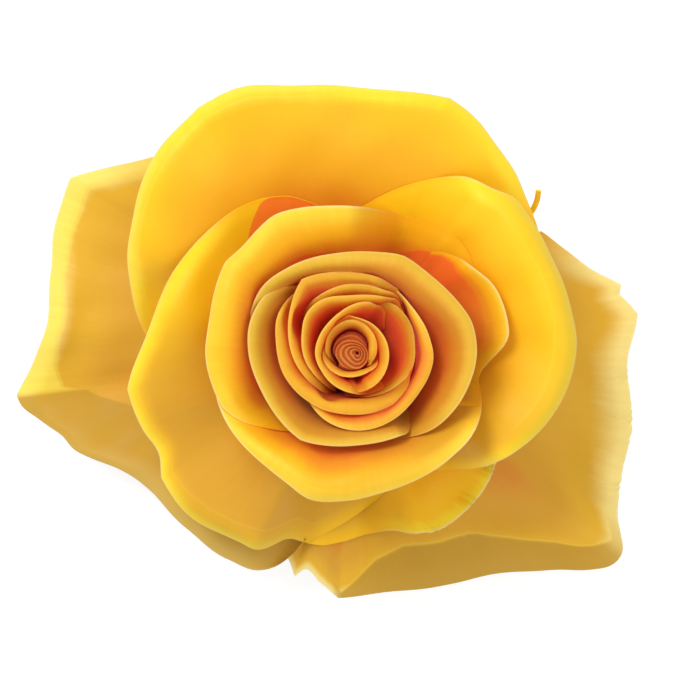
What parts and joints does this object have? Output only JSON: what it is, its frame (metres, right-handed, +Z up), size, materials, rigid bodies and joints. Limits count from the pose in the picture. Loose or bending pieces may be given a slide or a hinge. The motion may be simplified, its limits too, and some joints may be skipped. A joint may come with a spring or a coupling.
{
  "type": "cut rose",
  "caption": "Open yellow rose bloom cut close under its hip, with a furled heart, rolled petal rims and reflexed guard petals.",
  "frame": {"origin": "middle of the bloom's outline, on the surface that it stands on", "axes": "+Z up out of the bloom's heart, +X along its longest spread, +Y towards the tallest outer petal"},
  "size_m": [0.1104, 0.0892, 0.0529],
  "materials": {
    "petal": "satin, golden yellow",
    "guard_petal": "satin, golden yellow with a greenish edge",
    "heart_petal": "satin, deep golden orange",
    "hip": "smooth green skin",
    "sepal": "matte green leaf",
    "stem": "smooth green stem, pale cut end"
  },
  "bodies": {
    "root": {"petal_core": "heart_petal", "petal_scroll_inner": "heart_petal", "petal_scroll_outer": "heart_petal", "petal_heart_right": "heart_petal", "petal_heart_left": "heart_petal", "petal_bowl_right": "heart_petal", "petal_bowl_left": "heart_petal", "petal_bowl_top": "heart_petal", "petal_cup_left": "petal", "petal_cup_top": "petal", "petal_cup_right": "petal", "petal_ring_lower": "petal", "petal_ring_upper": "petal", "petal_collar_right": "petal", "petal_collar_upper": "petal", "petal_collar_lower": "petal", "petal_outer_right": "petal", "petal_outer_left": "petal", "petal_outer_lower": "petal", "petal_outer_top": "petal", "petal_guard_left": "guard_petal", "petal_guard_right": "guard_petal", "petaloid": "petal", "hip": "hip", "stem": "stem", "sepal_1": "sepal", "sepal_2": "sepal", "sepal_3": "sepal", "sepal_4": "sepal", "sepal_5": "sepal"}
  },
  "joints": []
}
